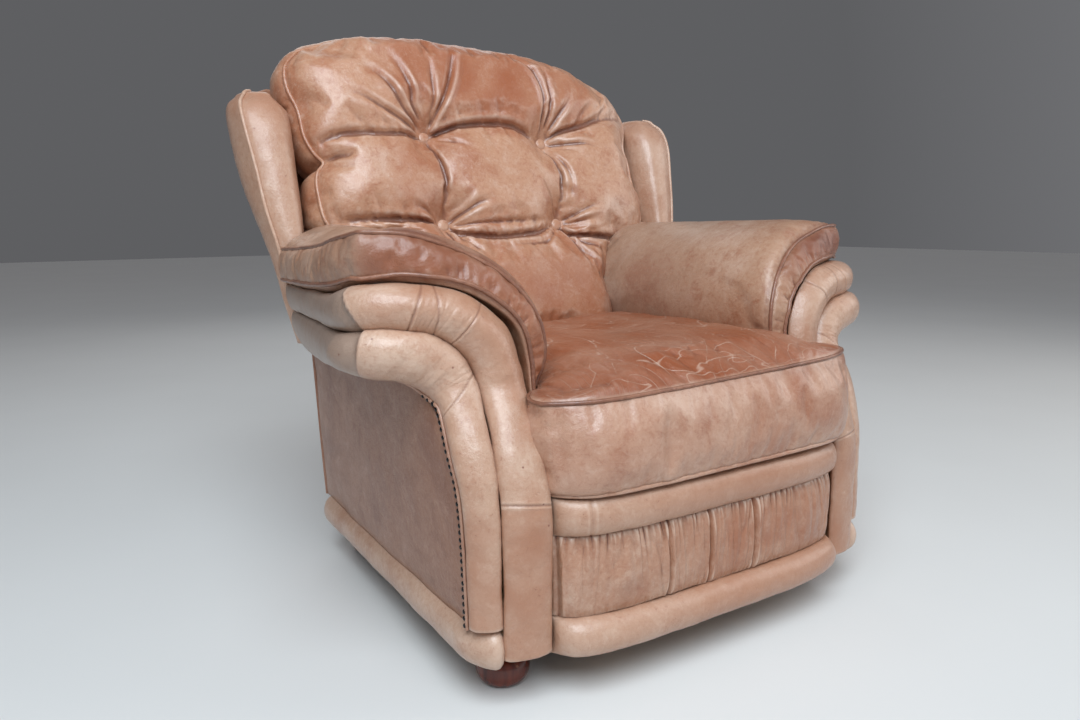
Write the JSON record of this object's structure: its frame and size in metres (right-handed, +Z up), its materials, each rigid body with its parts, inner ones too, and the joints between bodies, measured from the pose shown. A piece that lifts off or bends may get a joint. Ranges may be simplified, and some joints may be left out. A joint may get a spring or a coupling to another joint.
{
  "type": "club chair",
  "caption": "Worn tan leather club chair with scrolled roll-over arms, side wings, a loose seat cushion, a buttoned back cushion and bun feet.",
  "frame": {"origin": "on the floor, under the middle of the chair's bounding box", "axes": "+Z up, -Y is the front of the chair, +X is the sitter's left-hand side"},
  "size_m": [0.9752, 0.9043, 0.9698],
  "materials": {
    "seat_leather": "worn orange-tan hide, crackled, satin",
    "back_leather": "worn tan hide with mottled stains, satin",
    "arm_leather": "tan hide, burnished dark where hands rest, satin",
    "roll_leather": "pale cream-tan hide with small specks, satin",
    "panel_leather": "plain greyish tan hide, low sheen",
    "hardwood": "sawn, unfinished",
    "dark_wood": "dark red-brown gloss varnish",
    "spring_steel": "plain wire",
    "black_nails": "black domed heads, satin",
    "webbing": "woven strap",
    "felt": "pressed fibre pad",
    "dust_cloth": "thin black cloth"
  },
  "bodies": {
    "root": {"arm_board_left": "hardwood", "arm_board_right": "hardwood", "arm_pad_left": "arm_leather", "arm_pad_right": "arm_leather", "back_button_1": "back_leather", "back_button_2": "back_leather", "back_button_3": "back_leather", "back_button_4": "back_leather", "back_cushion": "back_leather", "back_post_left": "hardwood", "back_post_right": "hardwood", "back_webbing_1": "webbing", "back_webbing_2": "webbing", "back_webbing_3": "webbing", "corner_block_front_left": "hardwood", "corner_block_front_right": "hardwood", "corner_block_rear_left": "hardwood", "corner_block_rear_right": "hardwood", "dust_cover": "dust_cloth", "foot_front_left": "dark_wood", "foot_front_right": "dark_wood", "foot_rear_left": "dark_wood", "foot_rear_right": "dark_wood", "front_base_roll": "roll_leather", "front_border": "roll_leather", "front_post_left": "hardwood", "front_post_right": "hardwood", "front_rail": "hardwood", "gathered_apron": "seat_leather", "inside_arm_left": "hardwood", "inside_arm_right": "hardwood", "lower_roll_left": "roll_leather", "lower_roll_right": "roll_leather", "nail_strip_left": "black_nails", "nail_strip_right": "black_nails", "outside_back": "panel_leather", "rear_base_roll": "roll_leather", "rear_rail": "hardwood", "seat_cushion": "seat_leather", "seat_platform": "felt", "side_base_roll_left": "roll_leather", "side_base_roll_right": "roll_leather", "side_panel_left": "panel_leather", "side_panel_right": "panel_leather", "side_rail_left": "hardwood", "side_rail_right": "hardwood", "top_rail": "hardwood", "upper_roll_left": "roll_leather", "upper_roll_right": "roll_leather", "wing_left": "roll_leather", "wing_right": "roll_leather", "zigzag_spring_1": "spring_steel", "zigzag_spring_2": "spring_steel", "zigzag_spring_3": "spring_steel", "zigzag_spring_4": "spring_steel"}
  },
  "joints": []
}
